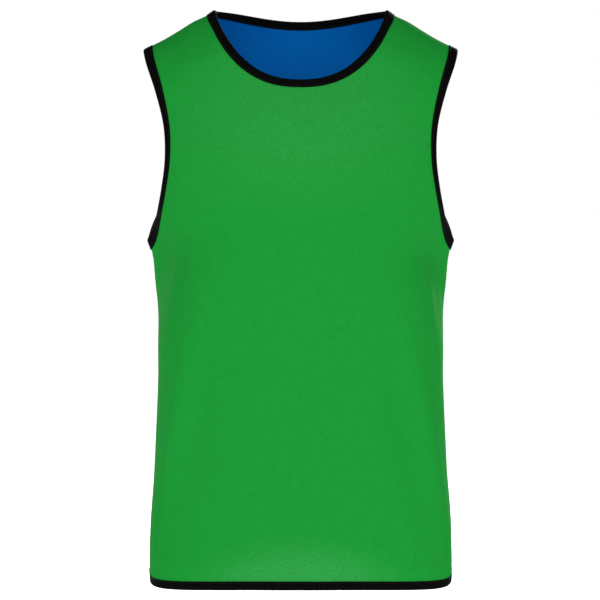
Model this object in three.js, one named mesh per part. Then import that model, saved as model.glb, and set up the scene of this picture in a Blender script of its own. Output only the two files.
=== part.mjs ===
// Reversible training bib: two knitted tank tops, one inside the other, held together by a
// folded tape round the neck, both armholes and the hem. It is shown filled out, as worn.
// Millimetres, +Z up, front towards -Y. The origin is halfway between the two points where
// the neck edge meets the shoulder seams, where the wearer's shoulders hold it up.
import * as THREE from "three";

// Driving sizes
const clothThickness = 1; // each knitted layer, as a wall
const tapeThickness = 1;
const tapeWidth = { neck: 11, armhole: 10, hem: 9.6 }; // tape seen on each face
const gap = 0.3; // between any two pieces
const hemHeight = -711.6; // at centre front
const hemDip = 4.2; // how much lower the hem hangs towards the side seams
const hemCorner = 2.6; // how far it turns up again at them
const underarm = { x: 191, z: -286 };
const shoulderTip = { x: 196.2, z: -51 };
const neckPoint = { x: 106.5, z: -1 }; // where the neck edge meets the shoulder seam
const frontNeckDrop = 95;
const frontNeckBow = { across: 2.4, down: 1.34 }; // 2 and 2 would be an ellipse
const backNeckDrop = 3.5;
const backNeckLift = 3.4; // the back neck rides up a little on each side of the nape
const shoulderRound = 75; // height over which the cloth rolls over the shoulder
const seamStand = { height: 30, round: 5, across: 28, up: 45, down: 75 }; // at the underarm

// The filled-out form: half width, depth in front of and behind the side seams, and how
// square each level section is, where 2 is an ellipse. The side seams stand out from it.
const sections = [
  { z: -760, halfWidth: 184.0, front: 113, back: 112, square: 3.5 },
  { z: -712, halfWidth: 186.0, front: 115, back: 115, square: 3.4 },
  { z: -690, halfWidth: 187.5, front: 116, back: 116, square: 3.4 },
  { z: -640, halfWidth: 186.2, front: 118, back: 118, square: 3.3 },
  { z: -580, halfWidth: 181.9, front: 121, back: 118, square: 3.2 },
  { z: -520, halfWidth: 179.1, front: 124, back: 115, square: 3.1 },
  { z: -460, halfWidth: 176.6, front: 128, back: 113, square: 3.0 },
  { z: -410, halfWidth: 175.3, front: 131, back: 115, square: 2.9 },
  { z: -350, halfWidth: 165.4, front: 134, back: 120, square: 2.9 },
  { z: -315, halfWidth: 157.4, front: 135, back: 123, square: 2.9 },
  { z: -300, halfWidth: 157.1, front: 135, back: 125, square: 2.85 },
  { z: underarm.z, halfWidth: underarm.x - seamStand.height, front: 135, back: 126, square: 2.75 },
  { z: -230, halfWidth: 187.0, front: 134, back: 131, square: 2.5 },
  { z: -180, halfWidth: 195.0, front: 129, back: 132, square: 2.4 },
  { z: -135, halfWidth: 201.0, front: 117, back: 127, square: 2.4 },
  { z: -90, halfWidth: 217.0, front: 99, back: 118, square: 2.4 },
  { z: -45, halfWidth: 240.0, front: 80, back: 105, square: 2.4 },
  { z: 0, halfWidth: 250.0, front: 63, back: 90, square: 2.4 },
  { z: 60, halfWidth: 255.0, front: 50, back: 75, square: 2.4 },
];

// Top line of the shoulders, seen from the front. Inside the neck it only shapes the form.
const ridge = [
  { x: -neckPoint.x, z: neckPoint.z },
  { x: 0, z: 52 },
  { x: neckPoint.x, z: neckPoint.z },
  { x: 116, z: -7.2 },
  { x: 134, z: -15.8 },
  { x: 153, z: -27.6 },
  { x: 167, z: -36 },
  { x: 186, z: -45.8 },
  { x: shoulderTip.x, z: shoulderTip.z },
  { x: 260, z: -80 },
];

// Finished armhole edge, seen from the front.
const armhole = [
  { z: underarm.z, x: underarm.x },
  { z: -272, x: 184.9 },
  { z: -254, x: 177.3 },
  { z: -226, x: 169.5 },
  { z: -190, x: 165 },
  { z: -150, x: 166.9 },
  { z: -107, x: 177.8 },
  { z: -70, x: 190.9 },
  { z: shoulderTip.z, x: shoulderTip.x },
];

// The largest soft folds, as lines down a panel. A turn is degrees round from the centre
// line, to +X, and a negative height is a trough.
const folds = [
  { panel: "front", turn: 42, z: -310, endTurn: 73, endZ: -700, width: 18, height: 5 },
  { panel: "front", turn: -43, z: -302, endTurn: -71, endZ: -688, width: 18, height: 4.8 },
  { panel: "front", turn: 37, z: -316, endTurn: 62, endZ: -706, width: 21, height: -4.6 },
  { panel: "front", turn: -36, z: -322, endTurn: -60, endZ: -690, width: 22, height: -4.8 },
  { panel: "front", turn: 69, z: -246, endTurn: 77, endZ: -450, width: 9, height: -3 },
  { panel: "front", turn: -68, z: -250, endTurn: -76, endZ: -430, width: 9, height: -2.8 },
  { panel: "back", turn: 22, z: -190, endTurn: 56, endZ: -900, width: 21, height: 6.4 },
  { panel: "back", turn: -27, z: -206, endTurn: -50, endZ: -930, width: 19, height: 6 },
  { panel: "back", turn: 10, z: -280, endTurn: 24, endZ: -860, width: 22, height: -5.2 },
  { panel: "back", turn: -14, z: -262, endTurn: -27, endZ: -880, width: 20, height: -5.6 },
  { panel: "back", turn: -1, z: -400, endTurn: -6, endZ: -920, width: 24, height: 5 },
  { panel: "back", turn: 41, z: -300, endTurn: 68, endZ: -840, width: 16, height: -4.6 },
  { panel: "back", turn: -42, z: -330, endTurn: -65, endZ: -860, width: 15, height: -4.4 },
  { panel: "back", turn: 66, z: -246, endTurn: 74, endZ: -520, width: 10, height: -3.6 },
  { panel: "back", turn: -65, z: -250, endTurn: -75, endZ: -490, width: 10, height: -3.4 },
];

// How finely a half panel is divided: columns of cells below the neck, the shoulder and the
// bottom of the armhole, and rows beside the side seam, the chest and the strap.
const neckColumns = 7;
const shoulderColumns = 7;
const underarmColumns = 3;
const seamRows = 8;
const chestRows = 7;
const strapRows = 5;
const seamShare = 0.66; // share of the centre line that lies beside the side seam

const greenKnit = new THREE.MeshStandardMaterial({ color: 0x219a38, roughness: 0.75, metalness: 0 });
const blueKnit = new THREE.MeshStandardMaterial({ color: 0x00549a, roughness: 0.75, metalness: 0 });
const blackTape = new THREE.MeshStandardMaterial({ color: 0x14120f, roughness: 0.85, metalness: 0 });

const quarterTurn = Math.PI / 2;
const front = { name: "front", facing: -1 };
const back = { name: "back", facing: 1 };

// Smooth value of one column of a table, at a place along another column.
function smoothAt(table, along, column, at) {
  let k = 1;
  while (k < table.length - 1 && at > table[k][along]) k++;
  const slopeAt = (row) => {
    const before = table[Math.max(row - 1, 0)];
    const after = table[Math.min(row + 1, table.length - 1)];
    return (after[column] - before[column]) / (after[along] - before[along]);
  };
  const low = table[k - 1];
  const high = table[k];
  const span = high[along] - low[along];
  const s = THREE.MathUtils.clamp((at - low[along]) / span, 0, 1);
  const rise = s * s * (3 - 2 * s);
  const bend = slopeAt(k - 1) * (1 - s) - slopeAt(k) * s;
  return low[column] + rise * (high[column] - low[column]) + span * s * (1 - s) * bend;
}

const sectionAt = (column, z) => smoothAt(sections, "z", column, z);
const ridgeAt = (x) => smoothAt(ridge, "x", "z", Math.abs(x));

// A place on the cloth is its turn round the body from the centre line, and its fall from the
// shoulder ridge: for a quarter turn it rolls over the shoulder, then it runs straight down.
const fallTo = (x, z) => {
  const drop = Math.max((ridgeAt(x) - z) / shoulderRound, 0);
  return drop < 1 ? Math.acos(1 - drop) : quarterTurn + drop - 1;
};
const dropOf = (fall) => (fall < quarterTurn ? 1 - Math.cos(fall) : 1 + fall - quarterTurn);
const mirrored = ({ turn, fall }) => ({ turn: -turn, fall });
const between = (a, b, share) => ({
  turn: THREE.MathUtils.lerp(a.turn, b.turn, share),
  fall: THREE.MathUtils.lerp(a.fall, b.fall, share),
});

// How far the folds lift the cloth of a panel, at a turn and height.
function foldLift(side, turn, z, reach) {
  let lift = 0;
  for (const fold of folds.filter(({ panel }) => panel === side.name)) {
    const share = (fold.z - z) / (fold.z - fold.endZ);
    if (share <= 0 || share >= 1) continue;
    const middle = THREE.MathUtils.degToRad(THREE.MathUtils.lerp(fold.turn, fold.endTurn, share));
    const away = ((turn - middle) * reach) / fold.width;
    lift += fold.height * Math.sin(Math.PI * share) ** 2 * Math.exp(-away * away);
  }
  return lift;
}

// How far out a level section reaches, at a turn and height.
function reachAt(side, turn, z) {
  const square = sectionAt("square", z);
  const across = Math.abs(Math.sin(turn)) / sectionAt("halfWidth", z);
  const deep = Math.abs(Math.cos(turn)) / sectionAt(side.name, z);
  const reach = (across ** square + deep ** square) ** (-1 / square);
  const toSeam = (quarterTurn - Math.abs(turn)) * reach;
  const fromSeam = (Math.hypot(toSeam, seamStand.round) - seamStand.round) / seamStand.across;
  const above = z - underarm.z;
  const fromUnderarm = above / (above > 0 ? seamStand.up : seamStand.down);
  return reach + seamStand.height * Math.exp(-fromSeam - fromUnderarm ** 2);
}

// The point at a place, midway between the two layers.
function clothPoint(side, { turn, fall }) {
  const drop = shoulderRound * dropOf(fall);
  const passes = 14;
  let z = -drop;
  for (let pass = 0; pass < passes; pass++) z = ridgeAt(reachAt(side, turn, z) * Math.sin(turn)) - drop;
  const flat = reachAt(side, turn, z);
  const reach = flat + foldLift(side, turn, z, flat);
  const depth = reach * Math.cos(turn) * Math.sin(Math.min(fall, quarterTurn));
  return new THREE.Vector3(reach * Math.sin(turn), side.facing * (depth + gap / 2), z);
}

// The place that is seen from the front at a given x and z, found by halving.
function placeAt(side, x, z) {
  const halvings = 50;
  const turns = { low: 0, high: quarterTurn };
  for (let halving = 0; halving < halvings; halving++) {
    const turn = (turns.low + turns.high) / 2;
    turns[reachAt(side, turn, z) * Math.sin(turn) < x ? "low" : "high"] = turn;
  }
  return { turn: turns.high, fall: fallTo(x, z) };
}

// Which way turn and fall run at a place, and the outward normal, which is level with the
// side seams where it meets them.
function clothFrame(side, { turn, fall }) {
  const step = 1e-4;
  const low = Math.max(fall, step);
  const byTurn = clothPoint(side, { turn: turn + step, fall: low });
  byTurn.sub(clothPoint(side, { turn: turn - step, fall: low })).divideScalar(2 * step);
  const byFall = clothPoint(side, { turn, fall: low + step });
  byFall.sub(clothPoint(side, { turn, fall: low - step })).divideScalar(2 * step);
  const normal = byTurn.clone().cross(byFall).multiplyScalar(side.facing);
  if (Math.abs(turn) > quarterTurn - step) normal.y = 0;
  return { byTurn, byFall, normal: normal.normalize() };
}

// The place at a distance from another, in a direction that lies in the cloth.
function moved(side, place, direction, distance) {
  const { byTurn, byFall } = clothFrame(side, place);
  const alongTurn = byTurn.dot(direction) * distance;
  const alongFall = byFall.dot(direction) * distance;
  const shared = byTurn.dot(byFall);
  const area = byTurn.lengthSq() * byFall.lengthSq() - shared * shared;
  return {
    turn: place.turn + (alongTurn * byFall.lengthSq() - alongFall * shared) / area,
    fall: Math.max(place.fall + (alongFall * byTurn.lengthSq() - alongTurn * shared) / area, 0),
  };
}

// Places at even steps of real length along a curve of places.
function evenPlaces(side, curve, steps) {
  const samples = 200;
  const places = Array.from({ length: samples + 1 }, (_, i) => curve(i / samples));
  const points = places.map((place) => clothPoint(side, place));
  const lengths = [0];
  for (let i = 1; i <= samples; i++) lengths.push(lengths[i - 1] + points[i].distanceTo(points[i - 1]));
  return Array.from({ length: steps + 1 }, (_, step) => {
    const wanted = (lengths[samples] * step) / steps;
    const reached = lengths.findIndex((length, i) => i > 0 && (length >= wanted || i === samples));
    const before = reached - 1;
    const share = (wanted - lengths[before]) / (lengths[reached] - lengths[before]);
    return between(places[before], places[reached], share);
  });
}

// The finished edges of a panel's +X half: how many steps each is divided in, which way the
// cloth lies from its start, and the edge as a curve of places over 0 to 1.
const edges = {
  hem: {
    steps: neckColumns + shoulderColumns + underarmColumns,
    into: [0, 0, 1],
    curve: (side) => (share) => {
      const turn = share * quarterTurn;
      const z = hemHeight - hemDip * Math.sin(turn) ** 2 + hemCorner * Math.sin(turn) ** 14;
      return { turn, fall: fallTo(reachAt(side, turn, z) * Math.sin(turn), z) };
    },
  },
  armhole: {
    steps: underarmColumns + chestRows + strapRows,
    into: [0, 0, -1],
    curve: (side) => (share) => {
      const z = THREE.MathUtils.lerp(underarm.z, shoulderTip.z, Math.sin(share * quarterTurn) ** 2);
      return placeAt(side, smoothAt(armhole, "z", "x", z), z);
    },
  },
  neck: {
    steps: neckColumns + strapRows,
    into: [0, 0, -1],
    curve: (side) => (share) => {
      const sine = Math.sin(share * quarterTurn);
      const cosine = Math.cos(share * quarterTurn);
      if (side === back) {
        const lift = backNeckLift * (2 * sine * cosine) ** 2;
        return placeAt(side, neckPoint.x * sine, neckPoint.z + lift - backNeckDrop * cosine ** 2);
      }
      const drop = frontNeckDrop * cosine ** (2 / frontNeckBow.down);
      return placeAt(side, neckPoint.x * sine ** (2 / frontNeckBow.across), neckPoint.z - drop);
    },
  },
};

// Stations along a finished edge. Each has its places at the fold of the tape, at the inside
// of that fold, at the cut edge of the cloth, and at the edge of the tape on the cloth.
function boundEdge(side, name) {
  const { steps, into, curve } = edges[name];
  const places = evenPlaces(side, curve(side), steps);
  const points = places.map((place) => clothPoint(side, place));
  const inward = new THREE.Vector3(...into);
  return places.map((place, i) => {
    const tangent = points[Math.min(i + 1, steps)].clone().sub(points[Math.max(i - 1, 0)]);
    if (Math.abs(points[i].y) < gap) tangent.set(0, 1, 0);
    if (Math.abs(points[i].x) < gap) tangent.set(1, 0, 0);
    const direction = clothFrame(side, place).normal.cross(tangent).normalize();
    if (direction.dot(inward) < 0) direction.negate();
    inward.copy(direction);
    const at = (distance) => moved(side, place, direction, distance);
    return { i, fold: place, web: at(tapeThickness), cut: at(tapeThickness + gap), leg: at(tapeWidth[name]) };
  });
}

// Triangles between two rows of place numbers, where the second row lies above the first.
function strip(first, second) {
  const triangles = [];
  for (let k = 0; k + 1 < first.length; k++) {
    triangles.push([first[k], first[k + 1], second[k + 1]], [first[k], second[k + 1], second[k]]);
  }
  return triangles;
}

const turnedOver = (triangles) => triangles.map(([a, b, c]) => [a, c, b]);

// Rows of places that fill a four-sided block between its borders.
function fillBlock(bottom, top, left, right) {
  return left.map((start, j) =>
    bottom.map((low, i) => {
      const across = i / (bottom.length - 1);
      const up = j / (left.length - 1);
      const level = between(start, right[j], across);
      const upright = between(low, top[i], up);
      const lowCorners = between(bottom[0], bottom.at(-1), across);
      const corners = between(lowCorners, between(top[0], top.at(-1), across), up);
      return { turn: level.turn + upright.turn - corners.turn, fall: level.fall + upright.fall - corners.fall };
    }),
  );
}

// Places at even steps on the line between two others, with both ends.
const line = (from, to, steps) => Array.from({ length: steps + 1 }, (_, i) => between(from, to, i / steps));

// The net of places that both layers of a panel are made from. The +X half is a block from
// the hem to the underarm, one across the chest and one for the strap, with a row of cells
// under each tape. The other half mirrors it.
function panelNet(side) {
  const [hem, armholeEdge, neck] = ["hem", "armhole", "neck"].map((name) => boundEdge(side, name));
  const legs = (edge, from, to) => edge.slice(from, to).map(({ leg }) => leg);
  const chest = between(hem[0].leg, neck[0].leg, seamShare);
  const chestLine = line(chest, armholeEdge[underarmColumns].leg, neckColumns + shoulderColumns);
  const underarmLine = legs(armholeEdge, 0, underarmColumns).reverse();
  const besideChest = legs(armholeEdge, underarmColumns, underarmColumns + chestRows + 1);
  const besideStrap = legs(armholeEdge, underarmColumns + chestRows);
  const strapFoot = line(neck[neckColumns].leg, besideStrap[0], shoulderColumns);
  const shoulder = line(neck.at(-1).leg, besideStrap.at(-1), shoulderColumns);
  const blocks = [
    fillBlock(
      legs(hem, 0),
      [...chestLine, ...underarmLine],
      line(hem[0].leg, chest, seamRows),
      line(hem.at(-1).leg, armholeEdge[0].leg, seamRows),
    ),
    fillBlock(
      chestLine,
      [...legs(neck, 0, neckColumns), ...strapFoot],
      line(chest, neck[0].leg, chestRows),
      besideChest,
    ),
    fillBlock(strapFoot, shoulder, legs(neck, neckColumns), besideStrap),
  ];

  const places = [];
  const addRow = (row) => row.map((place) => places.push(place) - 1);
  const addCut = (edge) => addRow(edge.map(({ cut }) => cut));
  const body = blocks[0].map(addRow);
  const upper = [body.at(-1).slice(0, chestLine.length), ...blocks[1].slice(1).map(addRow)];
  const strap = [upper.at(-1).slice(neckColumns), ...blocks[2].slice(1).map(addRow)];
  const underNeck = [...upper.at(-1).slice(0, neckColumns), ...strap.map((row) => row[0])];
  const underArmhole = [
    ...body.at(-1).slice(chestLine.length).reverse(),
    ...[...upper, ...strap.slice(1)].map((row) => row.at(-1)),
  ];
  const half = [
    ...[body, upper, strap].flatMap((rows) => rows.slice(1).flatMap((row, j) => strip(rows[j], row))),
    ...strip(addCut(hem), body[0]),
    ...strip(addCut(armholeEdge), underArmhole),
    ...turnedOver(strip(addCut(neck), underNeck)),
  ];

  const onCentre = 1e-6;
  const mirrorOf = places.map((place, k) => {
    return Math.abs(place.turn) < onCentre ? k : places.push(mirrored(place)) - 1;
  });
  const otherHalf = turnedOver(half).map((triangle) => triangle.map((k) => mirrorOf[k]));
  return { side, places, triangles: [...half, ...otherHalf] };
}

// A named mesh with its faces pointing out: they are turned round if they enclose less than
// nothing.
function namedMesh(name, points, triangles, material) {
  const volume = triangles.reduce((sum, [a, b, c]) => {
    return sum + points[a].dot(points[b].clone().cross(points[c])) / 6;
  }, 0);
  const outward = volume > 0 ? triangles : turnedOver(triangles);
  const geometry = new THREE.BufferGeometry().setFromPoints(points);
  geometry.setIndex(outward.flat());
  const mesh = new THREE.Mesh(geometry, material);
  mesh.name = name;
  return mesh;
}

// The point at a distance out from the middle of the cloth.
function offCloth(side, place, out) {
  return clothPoint(side, place).addScaledVector(clothFrame(side, place).normal, out);
}

// One layer of a panel, as a wall between two distances out from the middle of the cloth.
// The wall is closed along each edge that only one triangle of the net uses.
function clothLayer(name, { side, places, triangles }, near, far, material) {
  const points = [far, near].flatMap((out) => places.map((place) => offCloth(side, place, out)));
  const count = places.length;
  const used = new Set(triangles.flatMap(([a, b, c]) => [`${a} ${b}`, `${b} ${c}`, `${c} ${a}`]));
  const closed = [];
  for (const [a, b, c] of triangles) {
    closed.push([a, b, c], [a + count, c + count, b + count]);
    for (const [start, end] of [[a, b], [b, c], [c, a]]) {
      if (used.has(`${end} ${start}`)) continue;
      closed.push([start, start + count, end + count], [start, end + count, end]);
    }
  }
  return namedMesh(name, points, closed, material);
}

// The tape at one station: from its edge on the outside of the bib, round the fold, to its
// edge on the inside, and back along the hollow that holds the cloth.
function tapeSection({ side, station }) {
  const inside = gap / 2 + clothThickness + gap;
  const outside = inside + tapeThickness;
  const section = [
    [station.leg, inside],
    [station.leg, outside],
    [station.web, outside],
    [station.fold, inside],
    [station.fold, -inside],
    [station.web, -outside],
    [station.leg, -outside],
    [station.leg, -inside],
    [station.web, -inside],
    [station.web, inside],
  ];
  return section.map(([place, out]) => offCloth(side, place, out));
}

// A closed loop of tape through its stations. Its cells are split the same way as the cells
// of the cloth that they lie on.
function tapeLoop(name, stations) {
  const sections = stations.map(tapeSection);
  const size = sections[0].length;
  const count = sections.length * size;
  const onLeg = [0, 1, 6, 7];
  const triangles = [];
  stations.forEach(({ station }, s) => {
    const rising = stations[(s + 1) % stations.length].station.i > station.i;
    for (let k = 0; k < size; k++) {
      const next = (k + 1) % size;
      const [a, b] = [s * size + k, s * size + next];
      const [c, d] = [(b + size) % count, (a + size) % count];
      if (onLeg.includes(k) === rising) triangles.push([a, b, d], [b, c, d]);
      else triangles.push([a, b, c], [a, c, d]);
    }
  });
  return namedMesh(name, sections.flat(), triangles, blackTape);
}

const onSide = (side, stations) => stations.map((station) => ({ side, station }));
const mirroredStation = ({ i, fold, web, leg }) => ({
  i,
  fold: mirrored(fold),
  web: mirrored(web),
  leg: mirrored(leg),
});

// Neck and hem run from the -X seam across the front to the +X seam, and back behind.
function roundBody(name) {
  const across = (side) => {
    const half = boundEdge(side, name);
    return onSide(side, [...half.slice(1).reverse().map(mirroredStation), ...half]);
  };
  return [...across(front), ...across(back).reverse()];
}

// An armhole runs from the underarm up the front to the shoulder, and down behind.
function roundArm(hand) {
  const loop = [
    ...onSide(front, boundEdge(front, "armhole")),
    ...onSide(back, boundEdge(back, "armhole").reverse()),
  ];
  if (hand === "right") return loop;
  return loop.map(({ side, station }) => ({ side, station: mirroredStation(station) }));
}

function makeBib() {
  const near = gap / 2;
  const far = near + clothThickness;
  const bib = new THREE.Group();
  for (const side of [front, back]) {
    const net = panelNet(side);
    bib.add(clothLayer(`outer_${side.name}`, net, near, far, greenKnit));
    bib.add(clothLayer(`inner_${side.name}`, net, -far, -near, blueKnit));
  }
  bib.add(tapeLoop("neck_binding", roundBody("neck")));
  bib.add(tapeLoop("armhole_binding_right", roundArm("right")));
  bib.add(tapeLoop("armhole_binding_left", roundArm("left")));
  bib.add(tapeLoop("hem_binding", roundBody("hem")));
  return bib;
}

export default makeBib();
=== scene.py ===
# Reversible training bib, filled out as worn: green knit outside, blue knit inside, and
# black folded tape sewn round the neck, the armholes and the hem.
# The form is worked out in millimetres and becomes metres where it enters a mesh.

import math

import bmesh
import bpy
import numpy as np
from mathutils import Matrix, Vector


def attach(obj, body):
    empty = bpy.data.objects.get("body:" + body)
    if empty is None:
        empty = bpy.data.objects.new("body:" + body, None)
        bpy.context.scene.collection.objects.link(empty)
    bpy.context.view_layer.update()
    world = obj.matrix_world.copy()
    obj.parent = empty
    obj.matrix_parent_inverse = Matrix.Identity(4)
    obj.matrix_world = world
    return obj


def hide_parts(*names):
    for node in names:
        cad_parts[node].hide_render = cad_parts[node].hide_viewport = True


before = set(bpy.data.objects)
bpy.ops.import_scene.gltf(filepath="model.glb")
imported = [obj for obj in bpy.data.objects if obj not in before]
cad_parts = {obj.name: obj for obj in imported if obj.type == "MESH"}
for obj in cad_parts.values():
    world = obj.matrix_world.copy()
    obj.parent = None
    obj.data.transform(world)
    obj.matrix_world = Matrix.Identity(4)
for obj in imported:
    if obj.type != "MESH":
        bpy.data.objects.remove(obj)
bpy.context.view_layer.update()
print("frame loaded")

mm = 0.001
quarterTurn = math.pi / 2
front = {"name": "front", "facing": -1}
back = {"name": "back", "facing": 1}

# The form of the bib follows the solids in the frame, with more folds and rounder hem corners.
# A place on the cloth is its turn round the body from the centre line, and its fall from the
# shoulder ridge: for a quarter turn it rolls over the shoulder, then it runs straight down.
bodyForm = {
    "gap": 0.3,  # between the two layers
    "shoulderRound": 75,  # height over which the cloth rolls over the shoulder
    "hemHeight": -712,
    "hemDip": (4.4, 5),  # how much lower the hem hangs towards the side seams, and how suddenly
    "hemCorner": (9, 28),  # how far it turns up again at them, and how suddenly
    "neckPoint": (106.5, -1),  # x and z where the neck edge meets the shoulder seam
    "shoulderTipZ": -51,
    "underarmZ": -286,
    "frontNeckDrop": 95,
    "frontNeckBow": (2.4, 1.34),  # across and down; 2 and 2 would be an ellipse
    "backNeckDrop": 3.5,
    "backNeckLift": 3.4,
    # How far the side seam stands out at the underarm, and how it fades to all sides
    "seamStand": {"height": 30, "round": 5, "across": 28, "up": 45, "down": 75},
}

# Level sections: half width, depth in front of and behind the side seams, and how square each
# one is, where 2 is an ellipse
sections = {
    "z": [
        -760, -712, -690, -640, -580, -520, -460, -410, -350, -315,
        -300, -286, -230, -180, -135, -90, -45, 0, 60,
    ],
    "halfWidth": [
        184, 186, 187.5, 186.2, 181.9, 179.1, 176.6, 175.3, 165.4, 157.4,
        157.1, 161, 187, 195, 201, 217, 240, 250, 255,
    ],
    "front": [
        113, 115, 116, 118, 121, 124, 128, 131, 134, 135,
        135, 135, 134, 129, 117, 99, 80, 63, 50,
    ],
    "back": [
        112, 115, 116, 118, 118, 115, 113, 115, 120, 123,
        125, 126, 131, 132, 127, 118, 105, 90, 75,
    ],
    "square": [
        3.5, 3.4, 3.4, 3.3, 3.2, 3.1, 3, 2.9, 2.9, 2.9,
        2.85, 2.75, 2.5, 2.4, 2.4, 2.4, 2.4, 2.4, 2.4,
    ],
}
# Top line of the shoulders, seen from the front; inside the neck it only shapes the form
ridge = {
    "x": [-106.5, 0, 106.5, 116, 134, 153, 167, 186, 196.2, 260],
    "z": [-1, 52, -1, -7.2, -15.8, -27.6, -36, -45.8, -51, -80],
}
# Finished armhole edges, seen from the front: x at each height, for either panel
armholeEdge = {
    "z": [-286, -272, -254, -226, -190, -150, -107, -70, -51],
    "front": [191, 183, 176.2, 169.4, 165, 166.9, 177.8, 190.9, 196.2],
    "back": [191, 187.6, 181.4, 171.2, 165.4, 166.9, 177.8, 190.9, 196.2],
}

# Soft folds down each panel: turn, z, end turn, end z, width and height. A turn is in degrees
# from the centre line towards +X, the rest is millimetres, and a negative height is a trough.
folds = {
    "front": [
        (42, -310, 73, -700, 17, 6.2),
        (-43, -302, -71, -688, 17, 6),
        (37, -316, 62, -706, 19, -5.6),
        (-36, -322, -60, -690, 20, -5.8),
        (69, -256, 77, -450, 13, -1.8),
        (-68, -260, -76, -430, 13, -1.6),
        (57, -268, 64, -410, 8, -1.8),
        (-56, -262, -62, -392, 8, -1.8),
        (-3, -330, 3, -560, 30, -2),
        (-15, -350, -22, -600, 22, 1.4),
        (15, -338, 21, -590, 23, 1.4),
        (80, -330, 83, -880, 8, -4),
        (-79, -350, -82, -860, 8, -4.2),
        (12, -560, 9, -860, 30, 2),
        (-13, -580, -11, -860, 26, 1.8),
        (62, -92, 40, -168, 6, 2.4),
        (-62, -88, -41, -160, 6, 2.4),
        (60, -112, 36, -206, 7, -2.4),
        (-60, -106, -36, -198, 7, -2.4),
    ],
    "back": [
        (22, -190, 54, -900, 16, 9),
        (-27, -206, -48, -930, 15, 8.6),
        (12, -280, 26, -860, 17, -7.6),
        (-14, -262, -27, -880, 15, -8),
        (-1, -400, -6, -920, 19, 7.5),
        (41, -300, 66, -840, 13, -6.6),
        (-40, -330, -62, -860, 12, -6.2),
        (66, -246, 74, -520, 10, -4.4),
        (-65, -250, -75, -490, 10, -4),
        (77, -360, 81, -900, 9, 4.4),
        (-76, -380, -79, -880, 9, 4),
        (61, -120, 28, -262, 8, 4.6),
        (-62, -110, -26, -240, 8, 4.2),
        (59, -158, 24, -320, 9, -4.2),
        (-60, -146, -28, -300, 9, -4.4),
        (12, -60, 22, -240, 14, 2.4),
        (-9, -70, -20, -260, 15, -2.4),
    ],
}


def smoothAt(table, along, column, at):  # one column of a table, at places along another
    places = np.array(table[along], float)
    values = np.array(table[column], float)
    slopes = np.empty_like(values)
    slopes[1:-1] = (values[2:] - values[:-2]) / (places[2:] - places[:-2])
    slopes[[0, -1]] = np.diff(values)[[0, -1]] / np.diff(places)[[0, -1]]
    k = np.clip(np.searchsorted(places, at), 1, len(places) - 1)
    span = places[k] - places[k - 1]
    s = np.clip((at - places[k - 1]) / span, 0, 1)
    rise = s * s * (3 - 2 * s)
    bend = slopes[k - 1] * (1 - s) - slopes[k] * s
    return values[k - 1] + rise * (values[k] - values[k - 1]) + span * s * (1 - s) * bend


def ridgeAt(x):
    return smoothAt(ridge, "x", "z", np.abs(x))


def fallTo(x, z):  # the fall of a place seen from the front at x and z
    drop = np.maximum((ridgeAt(x) - z) / bodyForm["shoulderRound"], 0)
    return np.where(drop < 1, np.arccos(1 - np.minimum(drop, 1)), quarterTurn + drop - 1)


def reachAt(side, turn, z):  # how far out a level section reaches
    square = smoothAt(sections, "z", "square", z)
    across = np.abs(np.sin(turn)) / smoothAt(sections, "z", "halfWidth", z)
    deep = np.abs(np.cos(turn)) / smoothAt(sections, "z", side["name"], z)
    reach = (across**square + deep**square) ** (-1 / square)
    stand = bodyForm["seamStand"]
    toSeam = (quarterTurn - np.abs(turn)) * reach
    fromSeam = (np.hypot(toSeam, stand["round"]) - stand["round"]) / stand["across"]
    above = z - bodyForm["underarmZ"]
    fromUnderarm = above / np.where(above > 0, stand["up"], stand["down"])
    return reach + stand["height"] * np.exp(-fromSeam - fromUnderarm**2)


def foldLift(side, turn, z, reach):  # how far the folds lift the cloth of a panel
    lift = np.zeros_like(reach)
    for startTurn, startZ, endTurn, endZ, width, height in folds[side["name"]]:
        share = np.clip((startZ - z) / (startZ - endZ), 0, 1)
        middle = np.radians(startTurn + (endTurn - startTurn) * share)
        away = (turn - middle) * reach / width
        lift += height * np.sin(math.pi * share) ** 2 * np.exp(-away * away)
    return lift


def clothPoints(side, places):  # midway between the two layers
    turn, fall = places[..., 0], places[..., 1]
    drop = np.where(fall < quarterTurn, 1 - np.cos(fall), 1 + fall - quarterTurn)
    drop = bodyForm["shoulderRound"] * drop
    z = -drop
    passes = 14
    for _ in range(passes):
        z = ridgeAt(reachAt(side, turn, z) * np.sin(turn)) - drop
    flat = reachAt(side, turn, z)
    reach = flat + foldLift(side, turn, z, flat)
    depth = reach * np.cos(turn) * np.sin(np.minimum(fall, quarterTurn))
    y = side["facing"] * (depth + bodyForm["gap"] / 2)
    return np.stack([reach * np.sin(turn), y, z], axis=-1)


def placesAt(side, x, z):  # the places seen from the front at x and z, found by halving
    low, high = np.zeros_like(x), np.full_like(x, quarterTurn)
    halvings = 50
    for _ in range(halvings):
        turn = (low + high) / 2
        short = reachAt(side, turn, z) * np.sin(turn) < x
        low, high = np.where(short, turn, low), np.where(short, high, turn)
    return np.stack([high, fallTo(x, z)], axis=-1)


def clothFrame(side, places):  # which way turn and fall run, and the outward normal
    step = 1e-4
    low = places.copy()
    low[..., 1] = np.maximum(low[..., 1], step)
    slopes = []
    for way in ([step, 0], [0, step]):
        slopes.append((clothPoints(side, low + way) - clothPoints(side, low - way)) / (2 * step))
    normal = np.cross(*slopes) * side["facing"]
    normal[np.abs(places[..., 0]) > quarterTurn - step, 1] = 0  # level where the side seams meet
    return slopes[0], slopes[1], normal / np.linalg.norm(normal, axis=-1, keepdims=True)


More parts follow.
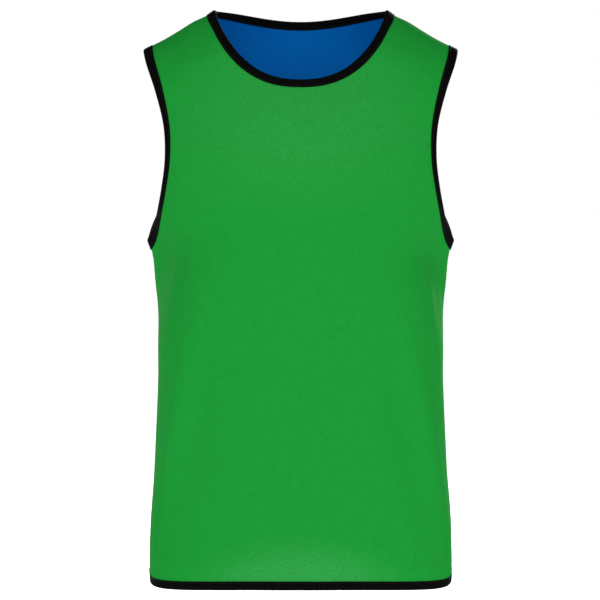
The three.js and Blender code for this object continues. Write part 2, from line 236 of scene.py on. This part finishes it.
def moved(side, places, direction, distance):  # places at a distance, within the cloth
    byTurn, byFall, _ = clothFrame(side, places)
    alongTurn = distance * np.sum(byTurn * direction, axis=-1)
    alongFall = distance * np.sum(byFall * direction, axis=-1)
    shared = np.sum(byTurn * byFall, axis=-1)
    turnSq = np.sum(byTurn * byTurn, axis=-1)
    fallSq = np.sum(byFall * byFall, axis=-1)
    area = turnSq * fallSq - shared * shared
    turn = places[..., 0] + (alongTurn * fallSq - alongFall * shared) / area
    fall = places[..., 1] + (alongFall * turnSq - alongTurn * shared) / area
    return np.stack([turn, np.maximum(fall, 0)], axis=-1)


# The finished edges of a panel's +X half, each as places over shares from 0 to 1.
def hemCurve(side, share):
    turn = share * quarterTurn
    sine = np.abs(np.sin(turn))
    (dip, dipPower), (rise, risePower) = bodyForm["hemDip"], bodyForm["hemCorner"]
    z = bodyForm["hemHeight"] - dip * sine**dipPower + rise * sine**risePower
    return np.stack([turn, fallTo(reachAt(side, turn, z) * np.sin(turn), z)], axis=-1)


def armholeCurve(side, share):
    low, high = bodyForm["underarmZ"], bodyForm["shoulderTipZ"]
    z = low + (high - low) * np.sin(share * quarterTurn) ** 2
    return placesAt(side, smoothAt(armholeEdge, "z", side["name"], z), z)


def neckCurve(side, share):
    sine, cosine = np.sin(share * quarterTurn), np.cos(share * quarterTurn)
    x, z = bodyForm["neckPoint"]
    if side is back:
        lift = bodyForm["backNeckLift"] * (2 * sine * cosine) ** 2
        return placesAt(side, x * sine, z + lift - bodyForm["backNeckDrop"] * cosine**2)
    across, down = bodyForm["frontNeckBow"]
    cosine = np.maximum(cosine, 0)
    drop = bodyForm["frontNeckDrop"] * cosine ** (2 / down)
    return placesAt(side, x * sine ** (2 / across), z - drop)


# Each edge, with 1 where the cloth lies above its start and -1 where it lies below
edgeCurves = {"hem": (hemCurve, 1), "armhole": (armholeCurve, -1), "neck": (neckCurve, -1)}


def edgeStations(side, name, shares):  # places at shares of the edge's real length
    curve, upward = edgeCurves[name]
    sampleCount = 601
    samples = curve(side, np.linspace(0, 1, sampleCount))
    steps = np.linalg.norm(np.diff(clothPoints(side, samples), axis=0), axis=1)
    walked = np.concatenate([[0], np.cumsum(steps)])
    wanted = shares * walked[-1]
    places = np.stack([np.interp(wanted, walked, samples[:, k]) for k in (0, 1)], axis=-1)
    points = clothPoints(side, places)
    tangent = np.gradient(points, axis=0)
    tangent[np.abs(points[:, 1]) < bodyForm["gap"]] = (0, 1, 0)
    tangent[np.abs(points[:, 0]) < bodyForm["gap"]] = (1, 0, 0)
    inward = np.cross(clothFrame(side, places)[2], tangent)
    inward /= np.linalg.norm(inward, axis=1, keepdims=True)
    heading = np.array([0, 0, upward])
    for k in range(len(inward)):
        if inward[k] @ heading < 0:
            inward[k] *= -1
        heading = inward[k]
    return {"places": places, "inward": inward, "length": walked[-1]}


def leg(side, stations, distance):  # places at a distance in from a finished edge
    return moved(side, stations["places"], stations["inward"], distance)


# Knitted panels: both layers of a panel come from one net of places on the cloth.
panelCut = {
    "underTape": 4,  # where the cloth ends, in from the finished edge, hidden by the tape
    "columns": (22, 20, 14),  # below the neck, the shoulder and the bottom of the armhole
    "rows": (84, 42, 26),  # beside the side seam, the chest and the strap
    "seamShare": 0.66,  # share of the centre line that lies beside the side seam
    "crowding": 0.6,  # how much the cells crowd towards the seams
    "hemShare": 0.8,  # share of the hem that lies below the neck and shoulder columns
    "armholeShares": (0.2, 0.667),  # where the armhole passes to the chest and to the strap
    "neckShare": 0.545,  # where the neck passes to the strap
    "knitThickness": 0.6,
    "offMiddle": 0.85,  # from between the layers to the middle of each
    "seamDip": (0.45, 1.8),  # how deep and how wide the seam lines sink
    "pucker": (0.22, 9.5, 7),  # ripples beside a seam: how high, how long, how far in
    "puckerDrift": (31, 13.7, 23),  # lengths over which they shift, twice, and swell
}


def towardsEnd(count):  # shares over 0 to 1 that crowd towards 1
    share = np.linspace(0, 1, count + 1)
    return share + panelCut["crowding"] * share * (1 - share)


def joinedShares(*runs):
    return np.concatenate([run if k == 0 else run[1:] for k, run in enumerate(runs)])


def fillBlock(bottom, top, left, right):  # places that fill a block between its borders
    span = np.linalg.norm(np.diff(bottom, axis=0), axis=1)
    across = np.concatenate([[0], np.cumsum(span)]) / span.sum()
    span = np.linalg.norm(np.diff(left, axis=0), axis=1)
    up = np.concatenate([[0], np.cumsum(span)]) / span.sum()
    across, up = across[None, :, None], up[:, None, None]
    level = left[:, None] * (1 - across) + right[:, None] * across
    upright = bottom[None] * (1 - up) + top[None] * up
    lowCorners = bottom[0] * (1 - across) + bottom[-1] * across
    highCorners = top[0] * (1 - across) + top[-1] * across
    return level + upright - lowCorners * (1 - up) - highCorners * up


def straight(start, end, shares):
    return start + (end - start) * shares[:, None]


def halfBlocks(side):  # the +X half: hem to underarm, across the chest, and the strap
    neckColumns, shoulderColumns, underarmColumns = panelCut["columns"]
    seamRows, chestRows, strapRows = panelCut["rows"]
    shoulderShares = np.linspace(0, 1, shoulderColumns + 1)
    crossing = np.linspace(0, 1, neckColumns + shoulderColumns + 1)
    besideSeam = towardsEnd(underarmColumns)
    upStrap = towardsEnd(strapRows)
    hemTurn = panelCut["hemShare"]
    chestStart, strapStart = panelCut["armholeShares"]
    neckTurn = panelCut["neckShare"]
    hemShares = joinedShares(hemTurn * crossing, hemTurn + (1 - hemTurn) * besideSeam)
    armholeShares = joinedShares(
        chestStart * (1 - besideSeam)[::-1],
        np.linspace(chestStart, strapStart, chestRows + 1),
        strapStart + (1 - strapStart) * upStrap,
    )
    neckShares = joinedShares(
        np.linspace(0, neckTurn, neckColumns + 1),
        neckTurn + (1 - neckTurn) * upStrap,
    )
    inset = panelCut["underTape"]
    hem, armhole, neck = (
        leg(side, edgeStations(side, name, shares), inset)
        for name, shares in (("hem", hemShares), ("armhole", armholeShares), ("neck", neckShares))
    )
    chest = hem[0] + (neck[0] - hem[0]) * panelCut["seamShare"]
    chestLine = straight(chest, armhole[underarmColumns], crossing)
    besideStrap = armhole[underarmColumns + chestRows :]
    strapFoot = straight(neck[neckColumns], besideStrap[0], shoulderShares)
    shoulder = straight(neck[-1], besideStrap[-1], shoulderShares)
    seam = np.linspace(0, 1, seamRows + 1)
    return [
        fillBlock(
            hem,
            np.concatenate([chestLine, armhole[:underarmColumns][::-1]]),
            straight(hem[0], chest, seam),
            straight(hem[-1], armhole[0], seam),
        ),
        fillBlock(
            chestLine,
            np.concatenate([neck[:neckColumns], strapFoot]),
            straight(chest, neck[0], np.linspace(0, 1, chestRows + 1)),
            armhole[underarmColumns : underarmColumns + chestRows + 1],
        ),
        fillBlock(strapFoot, shoulder, neck[neckColumns:], besideStrap),
    ]


def walkedLength(side, start, end):  # length over the cloth between two arrays of places
    sampleCount = 17
    shares = np.linspace(0, 1, sampleCount)[:, None, None, None]
    points = clothPoints(side, start[None] + (end - start)[None] * shares)
    return np.linalg.norm(np.diff(points, axis=0), axis=-1).sum(axis=0)


def patternPlaces(side, places):  # where each place lies on the flat cut: across, and down
    centred, atTop = places.copy(), places.copy()
    centred[..., 0] = 0
    atTop[..., 1] = 0
    across = walkedLength(side, centred, places) * np.sign(places[..., 0])
    return np.stack([across, -walkedLength(side, atTop, places)], axis=-1)


def seamShape(points):  # how far the cloth sinks at a seam, and how it ripples beside one
    fromSeam = np.abs(points[..., 1]) - bodyForm["gap"] / 2
    depth, width = panelCut["seamDip"]
    height, length, reach = panelCut["pucker"]
    along = points[..., 2] + np.abs(points[..., 0])
    slow, quick, swell = panelCut["puckerDrift"]
    drift = 1.6 * (np.sin(along / slow) + 0.6 * np.sin(along / quick))
    ripple = np.sin(2 * math.pi * along / length + drift) * (0.7 + 0.3 * np.sin(along / swell))
    return depth * np.exp(-((fromSeam / width) ** 2)), height * ripple * np.exp(-fromSeam / reach)


def addMappedGrid(bm, points, uvs):  # a grid whose vertices move to the given points
    rows, columns = points.shape[:2]
    made = bmesh.ops.create_grid(bm, x_segments=columns - 1, y_segments=rows - 1, size=1)
    spots = {}
    for vert in made["verts"]:
        row = (vert.co.y + 1) / 2 * (rows - 1)
        column = (vert.co.x + 1) / 2 * (columns - 1)
        spots[vert] = (round(row), round(column))
        vert.co = Vector(points[spots[vert]]) * mm
    uvLayer = bm.loops.layers.uv.verify()
    for face in {face for vert in made["verts"] for face in vert.link_faces}:
        face.smooth = True
        for loop in face.loops:
            loop[uvLayer].uv = Vector(uvs[spots[loop.vert]]) * mm


def finishedPiece(name, bm, material, slot, *nodes):
    bmesh.ops.remove_doubles(bm, verts=bm.verts, dist=0.02 * mm)
    bmesh.ops.recalc_face_normals(bm, faces=bm.faces)
    mesh = bpy.data.meshes.new(name)
    bm.to_mesh(mesh)
    bm.free()
    mesh.materials.append(material)
    piece = bpy.data.objects.new(name, mesh)
    bpy.context.scene.collection.objects.link(piece)
    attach(piece, "root")
    if nodes:
        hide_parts(*nodes)
    return piece


def addWall(piece, thickness):
    wall = piece.modifiers.new("wall", "SOLIDIFY")
    wall.thickness = thickness * mm
    wall.offset = 0
    wall.use_even_offset = True


def knitPanel(name, nets, layer, material, slot, node):  # layer 1 is outside, -1 inside
    bm = bmesh.new()
    for points, normals, uvs in nets:
        dip, ripple = seamShape(points)
        out = layer * (panelCut["offMiddle"] - dip) + ripple
        made = points + normals * out[..., None]
        made[np.abs(points[..., 1]) < bodyForm["gap"], 1] = 0  # the seams are sewn shut
        addMappedGrid(bm, made, uvs)
    piece = finishedPiece(name, bm, material, slot, node)
    addWall(piece, panelCut["knitThickness"])
    return piece


def panelNets(side):
    nets = []
    for places in halfBlocks(side):
        for turned in (1, -1):
            there = places * (turned, 1)
            normals = clothFrame(side, there)[2]
            nets.append((clothPoints(side, there), normals, patternPlaces(side, there)))
    return nets


# Folded tape: one strip round each edge, from its edge on the outside of the bib, round the
# fold, to its edge on the inside, with a row of stitches near both edges. It may be wider or
# narrower at shares of a finished edge, which run from the centre line or the underarm.
tapeCut = {
    "neck": {"width": 11, "steps": 150, "share": [0, 0.4, 0.8, 1], "wider": [1, 0.97, 0.88, 0.86]},
    "armhole": {
        "width": 10,
        "steps": 150,
        "share": [0, 0.1, 0.25, 0.55, 0.72, 1],
        "wider": [1.42, 1.3, 1.03, 0.98, 1.14, 1.16],
    },
    "hem": {"width": 10.7, "steps": 220, "share": [0, 1], "wider": [1, 1]},
    "thickness": 0.7,
    "off": 1.62,  # middle of the tape, out from between the layers
    "stitchIn": 1.9,  # stitch row, in from the edge of the tape
    "stitchPitch": 3.1,
    "stitchSize": (2.3, 0.62, 0.5),
    "pull": (0.16, 1.5),  # how far the stitches draw the tape in, and how wide
    "pullDrift": 17,  # length over which the pulls shift
}


def tapeProfile(width):  # distance in from the finished edge, and height off the middle
    off = tapeCut["off"]
    outside = [
        (width, off - 0.05),
        (width - 0.5, off + 0.02),
        (width - tapeCut["stitchIn"], off - tapeCut["pull"][0] / 2),
        (width * 0.6, off + 0.12),
        (width * 0.38, off + 0.16),
        (2.2, off + 0.1),
        (1, off - 0.16),
        (0.32, off - 0.75),
    ]
    inside = [(distance, -height) for distance, height in reversed(outside)]
    return outside + [(0, 0)] + inside


def loopHalves(name, hand):  # halves of a closed loop: side, hand (1 is +X), run backwards
    if name == "armhole":
        return [(front, hand, False), (back, hand, True)]
    return [(front, -1, True), (front, 1, False), (back, 1, True), (back, -1, False)]


def loopPoints(name, shares, profile, hand=1):  # points and normals: stations by profile
    points, normals = [], []
    for side, turned, backwards in loopHalves(name, hand):
        stations = edgeStations(side, name, shares)
        wider = smoothAt(tapeCut[name], "share", "wider", shares)
        rows = []
        for distance, height in profile:
            places = leg(side, stations, distance * wider) * (turned, 1)
            normal = clothFrame(side, places)[2]
            rows.append((clothPoints(side, places) + normal * height, normal))
        order = slice(None, None, -1) if backwards else slice(None)
        points.append(np.stack([row[0] for row in rows], axis=1)[order])
        normals.append(np.stack([row[1] for row in rows], axis=1)[order])
    return np.concatenate(points), np.concatenate(normals)


def foldedTape(title, name, material, node, hand=1):
    cut = tapeCut[name]
    profile = tapeProfile(cut["width"])
    points, normals = loopPoints(name, np.linspace(0, 1, cut["steps"] + 1), profile, hand)
    points, normals = (np.concatenate([array, array[:1]]) for array in (points, normals))
    middle = points[:, len(profile) // 2]
    along = np.concatenate([[0], np.cumsum(np.linalg.norm(np.diff(middle, axis=0), axis=1))])
    pull, pullWidth = tapeCut["pull"]
    drift = 2 * np.sin(along / tapeCut["pullDrift"])
    ripple = np.sin(math.pi * along / tapeCut["stitchPitch"] + drift)
    for k, (distance, height) in enumerate(profile):
        fromStitch = (cut["width"] - tapeCut["stitchIn"] - distance) / pullWidth
        lift = pull / 2 * math.exp(-(fromStitch**2)) * np.sign(height) * ripple
        points[:, k] += normals[:, k] * lift[:, None]
    acrossTape = np.concatenate([[0], np.cumsum(np.linalg.norm(np.diff(profile, axis=0), axis=1))])
    uvs = np.stack(np.broadcast_arrays(along[:, None], acrossTape[None]), axis=-1)
    bm = bmesh.new()
    addMappedGrid(bm, points, uvs)
    piece = finishedPiece(title, bm, material, "black_tape", node)
    addWall(piece, tapeCut["thickness"])
    return piece


def stitchRows(title, name, material, hand=1):
    width = tapeCut[name]["width"]
    off = tapeCut["off"] + tapeCut["thickness"] / 2
    rows = [(width - tapeCut["stitchIn"], sign * off) for sign in (1, -1)]
    halfLength = edgeStations(front, name, np.array([0, 1]))["length"]
    count = round(halfLength / tapeCut["stitchPitch"])
    points, normals = loopPoints(name, np.linspace(0, 1, count + 1), rows, hand)
    bm = bmesh.new()
    for k in range(len(points) - 1):
        for row in range(len(rows)):
            start, end = Vector(points[k, row]), Vector(points[k + 1, row])
            if (end - start).length < tapeCut["stitchPitch"] / 2:  # at a seam two stations meet
                continue
            along = (end - start).normalized()
            outward = Vector(normals[k, row])
            across = outward.cross(along).normalized()
            turn = Matrix((along, across, along.cross(across))).transposed().to_4x4()
            size = Matrix.Diagonal((*tapeCut["stitchSize"], 1))
            place = Matrix.Scale(mm, 4) @ Matrix.Translation((start + end) / 2) @ turn @ size
            bmesh.ops.create_icosphere(bm, subdivisions=1, radius=0.5, matrix=place)
    for face in bm.faces:
        face.smooth = True
    return finishedPiece(title, bm, material, "black_tape")


# Materials
def linear(hexColour):
    channels = [int(hexColour[k : k + 2], 16) / 255 for k in (1, 3, 5)]
    return tuple(c / 12.92 if c <= 0.04045 else ((c + 0.055) / 1.055) ** 2.4 for c in channels) + (1,)


def addNode(tree, kind, settings=None, links=None, **choices):
    node = tree.nodes.new(kind)
    for name, value in choices.items():
        setattr(node, name, value)
    for name, value in (settings or {}).items():
        node.inputs[name].default_value = value
    for name, source in (links or {}).items():
        tree.links.new(source, node.inputs[name])
    return node


def newMaterial(name):
    material = bpy.data.materials.new(name)
    material.use_nodes = True
    material.node_tree.nodes.clear()
    return material, material.node_tree


# Polyester interlock knit, dyed and brushed soft: matt, with a faint bloom where it turns
# away, fine upright wales, and small flecks where the yarn takes the dye unevenly. A real
# wale is 0.9 mm; it is drawn 1.7 mm wide so that it shows.
knitLook = {
    # Each knit's third colour is a painted highlight, laid on the chest and above the hem where light
    # falls on the cloth
    "green": {"light": "#1f9f3a", "dark": "#1b9233", "worn": "#5cbf75", "bloom": "#6fcf83"},
    "blue": {"light": "#006dbf", "dark": "#0062b1", "worn": "#1f78c2", "bloom": "#4f93cf"},
    "wale": 1.7,
    "course": 1.5,
    "stitchDepth": 0.06,
    "crumple": 0.35,  # height of the small soft unevenness, in millimetres
    "spotsPerMetre": {"crumple": 26, "cloud": 90, "fleck": 420},  # 38, 11 and 2.4 mm wide
    "fleckRange": (0.75, 2.25),
    "roughness": 0.78,
    "specular": 0.02,
    "sheen": 0.01,
    # Painted highlights, paler patches where light catches the chest and where light from the floor
    # reaches the front above the hem: middle on the flat cut, half width and half height in metres,
    # and share of the paler colour
    "worn": [
        ((0, -0.21), 0.15, 0.12, 0.11),
        ((0, -0.8), 0.14, 0.045, 0.2),
    ],
}


def knitMaterial(title, colours):
    material, tree = newMaterial(title)
    uv = addNode(tree, "ShaderNodeTexCoord").outputs["UV"]
    place = addNode(tree, "ShaderNodeTexCoord").outputs["Object"]
    parts = addNode(tree, "ShaderNodeSeparateXYZ", links={"Vector": uv}).outputs
    wales = addNode(
        tree,
        "ShaderNodeMath",
        {1: 1 / (knitLook["wale"] * mm)},
        {0: parts["X"]},
        operation="MULTIPLY",
    ).outputs[0]
    lean = addNode(tree, "ShaderNodeMath", {1: 0.5}, {0: wales}, operation="PINGPONG").outputs[0]
    courses = addNode(
        tree,
        "ShaderNodeMath",
        {1: 1 / (knitLook["course"] * mm)},
        {0: parts["Y"]},
        operation="MULTIPLY",
    ).outputs[0]
    slanted = addNode(tree, "ShaderNodeMath", links={0: courses, 1: lean}, operation="ADD").outputs[0]
    loops = addNode(tree, "ShaderNodeMath", {1: 0.5}, {0: slanted}, operation="PINGPONG").outputs[0]
    stitch = addNode(tree, "ShaderNodeMath", links={0: loops, 1: lean}, operation="ADD").outputs[0]
    spots = knitLook["spotsPerMetre"]
    crumple = addNode(
        tree,
        "ShaderNodeTexNoise",
        {"Scale": spots["crumple"], "Detail": 3, "Roughness": 0.45},
        {"Vector": place},
    ).outputs["Fac"]
    fleck = addNode(
        tree,
        "ShaderNodeTexNoise",
        {"Scale": spots["fleck"], "Detail": 2, "Roughness": 0.6},
        {"Vector": place},
    ).outputs["Fac"]
    cloud = addNode(
        tree,
        "ShaderNodeTexNoise",
        {"Scale": spots["cloud"], "Detail": 3, "Roughness": 0.6},
        {"Vector": place},
    ).outputs["Fac"]
    flecks = addNode(tree, "ShaderNodeMath", {1: 2}, {0: fleck}, operation="MULTIPLY").outputs[0]
    mixed = addNode(tree, "ShaderNodeMath", links={0: flecks, 1: cloud}, operation="ADD").outputs[0]
    low, high = knitLook["fleckRange"]
    share = addNode(
        tree, "ShaderNodeMapRange", {"From Min": low, "From Max": high}, {"Value": mixed}
    ).outputs[0]
    colour = addNode(
        tree,
        "ShaderNodeMix",
        {6: linear(colours["dark"]), 7: linear(colours["light"])},
        {0: share},
        data_type="RGBA",
    ).outputs[2]
    # Painted highlights: patches of paler colour on the chest and above the hem, broken up by the
    # flecks
    for (middleX, middleY), halfWidth, halfHeight, most in knitLook["worn"]:
        spot = addNode(
            tree,
            "ShaderNodeMapping",
            {
                "Location": (-middleX / halfWidth, -middleY / halfHeight, 0),
                "Scale": (1 / halfWidth, 1 / halfHeight, 1),
            },
            {"Vector": uv},
        ).outputs[0]
        away = addNode(
            tree, "ShaderNodeVectorMath", links={0: spot}, operation="LENGTH"
        ).outputs["Value"]
        near = addNode(
            tree,
            "ShaderNodeMapRange",
            {"From Min": 1.5, "From Max": 0.2, "To Max": most},
            {"Value": away},
            interpolation_type="SMOOTHSTEP",
        ).outputs[0]
        highlightShare = addNode(
            tree, "ShaderNodeMath", links={0: near, 1: flecks}, operation="MULTIPLY"
        ).outputs[0]
        colour = addNode(
            tree,
            "ShaderNodeMix",
            {7: linear(colours["worn"])},
            {0: highlightShare, 6: colour},
            data_type="RGBA",
        ).outputs[2]
    fine = addNode(
        tree,
        "ShaderNodeBump",
        {"Strength": 1, "Distance": knitLook["stitchDepth"] * mm},
        {"Height": stitch},
    ).outputs[0]
    soft = addNode(
        tree,
        "ShaderNodeBump",
        {"Strength": 1, "Distance": knitLook["crumple"] * mm},
        {"Height": crumple, "Normal": fine},
    ).outputs[0]
    shader = addNode(
        tree,
        "ShaderNodeBsdfPrincipled",
        {
            "Roughness": knitLook["roughness"],
            "Specular IOR Level": knitLook["specular"],
            "Sheen Weight": knitLook["sheen"],
            "Sheen Roughness": 0.5,
            "Sheen Tint": linear(colours["bloom"]),
        },
        {"Base Color": colour, "Normal": soft},
    )
    addNode(tree, "ShaderNodeOutputMaterial", links={"Surface": shader.outputs[0]})
    return material


# Woven polyester tape, black: a dense plain weave that is matt and a little dusty on top of
# its threads. A real thread is 0.3 mm; it is drawn 0.9 mm wide so that it shows.
tapeLook = {
    "light": "#0c0b0a",
    "dark": "#040404",
    "thread": 0.9,
    "depth": 0.08,
    "roughness": 0.82,
    "specular": 0.03,
}


def tapeMaterial(title):
    material, tree = newMaterial(title)
    uv = addNode(tree, "ShaderNodeTexCoord").outputs["UV"]
    parts = addNode(tree, "ShaderNodeSeparateXYZ", links={"Vector": uv}).outputs
    waves = []
    for axis in ("X", "Y"):
        count = addNode(
            tree,
            "ShaderNodeMath",
            {1: math.pi / (tapeLook["thread"] * mm)},
            {0: parts[axis]},
            operation="MULTIPLY",
        ).outputs[0]
        waves.append(addNode(tree, "ShaderNodeMath", links={0: count}, operation="SINE").outputs[0])
    weave = addNode(
        tree, "ShaderNodeMath", links={0: waves[0], 1: waves[1]}, operation="MULTIPLY"
    ).outputs[0]
    share = addNode(tree, "ShaderNodeMapRange", {"From Min": -1}, {"Value": weave}).outputs[0]
    colour = addNode(
        tree,
        "ShaderNodeMix",
        {6: linear(tapeLook["dark"]), 7: linear(tapeLook["light"])},
        {0: share},
        data_type="RGBA",
    ).outputs[2]
    bump = addNode(
        tree, "ShaderNodeBump", {"Strength": 1, "Distance": tapeLook["depth"] * mm}, {"Height": share}
    ).outputs[0]
    shader = addNode(
        tree,
        "ShaderNodeBsdfPrincipled",
        {"Roughness": tapeLook["roughness"], "Specular IOR Level": tapeLook["specular"]},
        {"Base Color": colour, "Normal": bump},
    )
    addNode(tree, "ShaderNodeOutputMaterial", links={"Surface": shader.outputs[0]})
    return material


# Spun polyester sewing thread, black: a little glossier than the tape, so the row catches light.
threadLook = {
    "light": "#1a1816",
    "dark": "#0b0a09",
    "twistsPerMetre": 2500,  # 0.4 mm each
    "roughness": 0.5,
    "specular": 0.2,
}


def threadMaterial(title):
    material, tree = newMaterial(title)
    place = addNode(tree, "ShaderNodeTexCoord").outputs["Object"]
    twist = addNode(
        tree, "ShaderNodeTexNoise", {"Scale": threadLook["twistsPerMetre"]}, {"Vector": place}
    ).outputs["Fac"]
    colour = addNode(
        tree,
        "ShaderNodeMix",
        {6: linear(threadLook["dark"]), 7: linear(threadLook["light"])},
        {0: twist},
        data_type="RGBA",
    ).outputs[2]
    shader = addNode(
        tree,
        "ShaderNodeBsdfPrincipled",
        {"Roughness": threadLook["roughness"], "Specular IOR Level": threadLook["specular"]},
        {"Base Color": colour},
    )
    addNode(tree, "ShaderNodeOutputMaterial", links={"Surface": shader.outputs[0]})
    return material


greenKnit = knitMaterial("greenInterlockKnit", knitLook["green"])
blueKnit = knitMaterial("blueInterlockKnit", knitLook["blue"])
blackTape = tapeMaterial("blackWovenTape")
blackThread = threadMaterial("blackSewingThread")
print("materials ready")

for side in (front, back):
    nets = panelNets(side)
    title = side["name"].capitalize()
    for layer, colour, material in ((1, "green", greenKnit), (-1, "blue", blueKnit)):
        node = ("outer_" if layer == 1 else "inner_") + side["name"]
        knitPanel(f"{colour}{title}Panel", nets, layer, material, f"{colour}_knit", node)
print("knitted panels made")

tapes = [
    foldedTape("neckTape", "neck", blackTape, "neck_binding"),
    foldedTape("armholeTapeRight", "armhole", blackTape, "armhole_binding_right"),
    foldedTape("armholeTapeLeft", "armhole", blackTape, "armhole_binding_left", -1),
    foldedTape("hemTape", "hem", blackTape, "hem_binding"),
]
stitches = [
    stitchRows("neckStitches", "neck", blackThread),
    stitchRows("armholeStitchesRight", "armhole", blackThread),
    stitchRows("armholeStitchesLeft", "armhole", blackThread, -1),
    stitchRows("hemStitches", "hem", blackThread),
]
print("tapes and stitches made")

# Floor, light and camera
studio = {
    "floorHeight": -0.86,
    "floorRadius": 30,
    "floorColour": "#f4f4f4",
    "floorGlow": 0.46,  # light that the floor gives the bib; to the camera it is plain white
    # The sky is white to the camera. Its light is strong from before the bib and weak from
    # behind it, so the folds show from both sides.
    "skyLight": {"behind": (0, 0.75, 0.66), "before": 1.26, "after": 0.04},
    "softboxes": [  # place, size and power
        ((0, -3.4, -0.2), 1.2, 16),
        ((1.3, 3, 0.8), 0.4, 64),
        ((-1.9, 2.8, 0.2), 0.5, 14),
    ],
    "aim": (0, 0, -0.36),
    "cameraPlace": (-0.00085, -3, -0.3626),  # level, at the middle of the bib's height
    "cameraLens": 143.7,
}

bm = bmesh.new()
bmesh.ops.create_circle(bm, cap_ends=True, segments=96, radius=studio["floorRadius"])
bmesh.ops.translate(bm, verts=bm.verts, vec=(0, 0, studio["floorHeight"]))
floorMesh = bpy.data.meshes.new("floor")
bm.to_mesh(floorMesh)
bm.free()
floor = bpy.data.objects.new("floor", floorMesh)
bpy.context.scene.collection.objects.link(floor)
floorPaint, tree = newMaterial("whiteStudioFloor")  # lit white acrylic, with hardly a shadow
seen = addNode(tree, "ShaderNodeLightPath").outputs["Is Camera Ray"]
glow = addNode(tree, "ShaderNodeMapRange", {"To Min": studio["floorGlow"]}, {"Value": seen}).outputs[0]
shader = addNode(
    tree,
    "ShaderNodeBsdfPrincipled",
    {"Base Color": linear(studio["floorColour"]), "Roughness": 0.9, "Emission Color": (1, 1, 1, 1)},
    {"Emission Strength": glow},
)
addNode(tree, "ShaderNodeOutputMaterial", links={"Surface": shader.outputs[0]})
floorMesh.materials.append(floorPaint)

world = bpy.data.worlds.new("softStudio")
world.use_nodes = True
world.node_tree.nodes.clear()
way = addNode(world.node_tree, "ShaderNodeTexCoord").outputs["Generated"]
behind = addNode(
    world.node_tree,
    "ShaderNodeVectorMath",
    {1: studio["skyLight"]["behind"]},
    {0: way},
    operation="DOT_PRODUCT",
).outputs["Value"]
given = addNode(
    world.node_tree,
    "ShaderNodeMapRange",
    {"From Min": -1, "To Min": studio["skyLight"]["before"], "To Max": studio["skyLight"]["after"]},
    {"Value": behind},
).outputs[0]
seen = addNode(world.node_tree, "ShaderNodeLightPath").outputs["Is Camera Ray"]
strength = addNode(
    world.node_tree, "ShaderNodeMapRange", {"To Max": 1}, {"Value": seen, "To Min": given}
).outputs[0]
sky = addNode(world.node_tree, "ShaderNodeBackground", {"Color": (1, 1, 1, 1)}, {"Strength": strength})
addNode(world.node_tree, "ShaderNodeOutputWorld", links={"Surface": sky.outputs[0]})
bpy.context.scene.world = world

for k, (place, size, power) in enumerate(studio["softboxes"]):
    lamp = bpy.data.lights.new(f"softbox{k}", "AREA")
    lamp.size = size
    lamp.energy = power
    holder = bpy.data.objects.new(lamp.name, lamp)
    holder.location = place
    holder.rotation_euler = (Vector(studio["aim"]) - Vector(place)).to_track_quat("-Z", "Y").to_euler()
    bpy.context.scene.collection.objects.link(holder)

camera = bpy.data.objects.new("camera", bpy.data.cameras.new("camera"))
camera.location = studio["cameraPlace"]
camera.rotation_euler = (quarterTurn, 0, 0)
camera.data.lens = studio["cameraLens"]
bpy.context.scene.collection.objects.link(camera)
bpy.context.scene.camera = camera
bpy.context.scene.view_settings.view_transform = "Standard"  # dyed colours stay as they are
print("studio ready")
